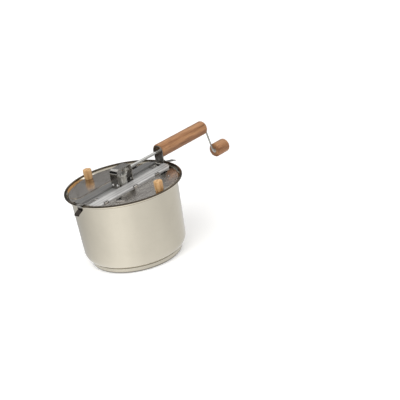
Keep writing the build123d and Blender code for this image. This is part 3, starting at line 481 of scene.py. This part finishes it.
grip_length = HANDLE_END - HANDLE_START
grip = rounded([
    (HANDLE_BORE, 0), (HANDLE_RADIUS, 0), (HANDLE_RADIUS, grip_length), (HANDLE_BORE, grip_length),
], [1.6, 4.5])
lathe(
    "grip", grip, (HANDLE_START, 0, SHAFT_Z), FORWARD, steps=128, body="lid",
    material=handle_wood, replaced=("handle",), closed=True
)
recess_floor = TURNER_LENGTH - RECESS_DEPTH
turner = rounded([
    (TURNER_BORE, 0), (TURNER_RADIUS, 0), (TURNER_RADIUS, TURNER_LENGTH), (RECESS_RADIUS, TURNER_LENGTH),
    (RECESS_RADIUS, recess_floor), (TURNER_BORE, recess_floor),
], [2.0, 4.0, 0.4, 0.3])
lathe(
    "turner", turner, (TURNER_START, PIN_Y, PIN_Z), FORWARD, steps=128, body="crank_grip",
    material=handle_wood, replaced=("crank_knob",), closed=True
)

# ---------------------------------------------------------------- floor and backdrop
FLOOR_HALF, FLOOR_Z = 4.0, -0.0005
PAPER_LIGHT, PAPER_DARK = (0.86, 0.855, 0.84), (0.84, 0.835, 0.82)
GLOW_BESIDE, GLOW_AFAR, GLOW_REACH = 0.36, 0.75, 2.5
WORLD_LIGHT, WORLD_TINT = 0.55, (0.94, 0.94, 0.95, 1)


def shown_rays(tree):
    """1 for the rays that show the white background: camera, glossy and transmission rays."""
    ray = tree.nodes.new("ShaderNodeLightPath")
    shown = ray.outputs["Is Camera Ray"]
    for other in ("Is Glossy Ray", "Is Transmission Ray"):
        either = tree.nodes.new("ShaderNodeMath")
        either.operation = "MAXIMUM"
        tree.links.new(shown, either.inputs[0])
        tree.links.new(ray.outputs[other], either.inputs[1])
        shown = either.outputs["Value"]
    return shown


def staged(name, corners, faces, material):
    """A mesh of the studio, which is no part of the object."""
    mesh = bpy.data.meshes.new(name)
    mesh.from_pydata(corners, [], faces)
    obj = bpy.data.objects.new(name, mesh)
    scene.collection.objects.link(obj)
    obj.data.materials.append(material)
    return obj


# the floor is pale paper that shows white; the object's shadow stays on it, and far from the lamps
# the paper glows more, so that it is as white there as beside the pot
ground = Nodes("ground")
paper = ground.mix(ground.noise(ground.mapped(), 3.0), PAPER_LIGHT, PAPER_DARK)
ground.finish(paper, Roughness=0.7)
nearness = ground.gradient(ground.mapped(scale=(1 / GLOW_REACH,) * 3), "SPHERICAL")
glow = ground.ramp(nearness, [(0.0, (GLOW_AFAR,) * 3), (0.6, (GLOW_BESIDE,) * 3)])
ground.link(glow, ground.shader.inputs["Emission Color"])
ground.link(shown_rays(ground.tree), ground.shader.inputs["Emission Strength"])
staged(
    "ground", [(x * FLOOR_HALF, y * FLOOR_HALF, FLOOR_Z) for x, y in ((-1, -1), (1, -1), (1, 1), (-1, 1))],
    [(0, 1, 2, 3)], ground.material
)

world = bpy.data.worlds.new("studio")
scene.world = world
world.use_nodes = True
tree = world.node_tree
lit = tree.nodes["Background"]
lit.inputs["Color"].default_value = WORLD_TINT
lit.inputs["Strength"].default_value = WORLD_LIGHT
seen = tree.nodes.new("ShaderNodeBackground")
seen.inputs["Color"].default_value = (1, 1, 1, 1)
seen.inputs["Strength"].default_value = 1.0
blend = tree.nodes.new("ShaderNodeMixShader")
tree.links.new(shown_rays(tree), blend.inputs["Fac"])
tree.links.new(lit.outputs["Background"], blend.inputs[1])
tree.links.new(seen.outputs["Background"], blend.inputs[2])
tree.links.new(blend.outputs["Shader"], tree.nodes["World Output"].inputs["Surface"])


# ---------------------------------------------------------------- lights and studio cards
LAMP_AIM = Vector((0, 0, 0.1))


def softbox(name, place, width, height, power):
    """A large rectangular lamp aimed at the pot, which the metal doesn't mirror."""
    lamp = bpy.data.lights.new(name, "AREA")
    lamp.shape, lamp.size, lamp.size_y, lamp.energy = "RECTANGLE", width, height, power
    obj = bpy.data.objects.new(name, lamp)
    scene.collection.objects.link(obj)
    obj.location = place
    obj.rotation_mode = "QUATERNION"
    obj.rotation_quaternion = (LAMP_AIM - Vector(place)).to_track_quat("-Z", "Y")
    obj.visible_glossy = False


def studio_card(name, rings, tones, span=(-180, 180), steps=96):
    """A round band that only mirror rays see, between two rings of (radius, height).

    Its tones are (heading in degrees, grey).
    """
    card = Nodes(name)
    heading = card.gradient(card.coords, "RADIAL")
    grey = card.ramp(heading, [(degrees / 360 + 0.5, (tone,) * 3) for degrees, tone in tones])
    card.link(grey, card.shader.inputs["Emission Color"])
    card.finish(Base_Color=(0, 0, 0, 1), Emission_Strength=1.0, Specular_IOR_Level=0.0)
    angles = [math.radians(span[0] + (span[1] - span[0]) * k / steps) for k in range(steps + 1)]
    corners = [
        (radius * math.cos(angle), radius * math.sin(angle), height)
        for radius, height in rings for angle in angles
    ]
    faces = [(k, k + 1, steps + k + 2, steps + k + 1) for k in range(steps)]
    obj = staged(name, corners, faces, card.material)
    obj.visible_camera = obj.visible_diffuse = obj.visible_shadow = False


softbox("key", (-1.5, -0.4, 2.4), 1.8, 1.8, power=44)
softbox("fill", (1.6, -2.2, 1.5), 1.6, 1.2, power=18)
studio_card("horizon", [(2.4, 0.0), (2.4, 1.25)], [
    (-180, 0.06), (-135, 0.30), (-60, 0.34), (0, 0.22), (45, 0.20), (95, 0.10), (180, 0.06),
])
studio_card("dark_side", [(2.3, 0.0), (2.3, 2.1)], [
    (90, 0.05), (110, 0.015), (160, 0.015), (180, 0.05),
], span=(90, 180))
studio_card("ceiling", [(0.02, 2.7), (2.0, 2.7)], [
    (-180, 0.34), (-90, 0.52), (0, 0.42), (90, 0.26), (180, 0.34),
])
studio_card("sweep", [(0.1, -0.0002), (2.4, -0.0002)], [
    (-180, 0.93), (-165, 1.03), (-150, 1.04), (-135, 0.97), (-122, 0.88), (-97, 0.82), (-60, 0.72),
    (-10, 0.72), (45, 0.50), (95, 0.50), (126, 0.60), (150, 0.74), (180, 0.93),
])
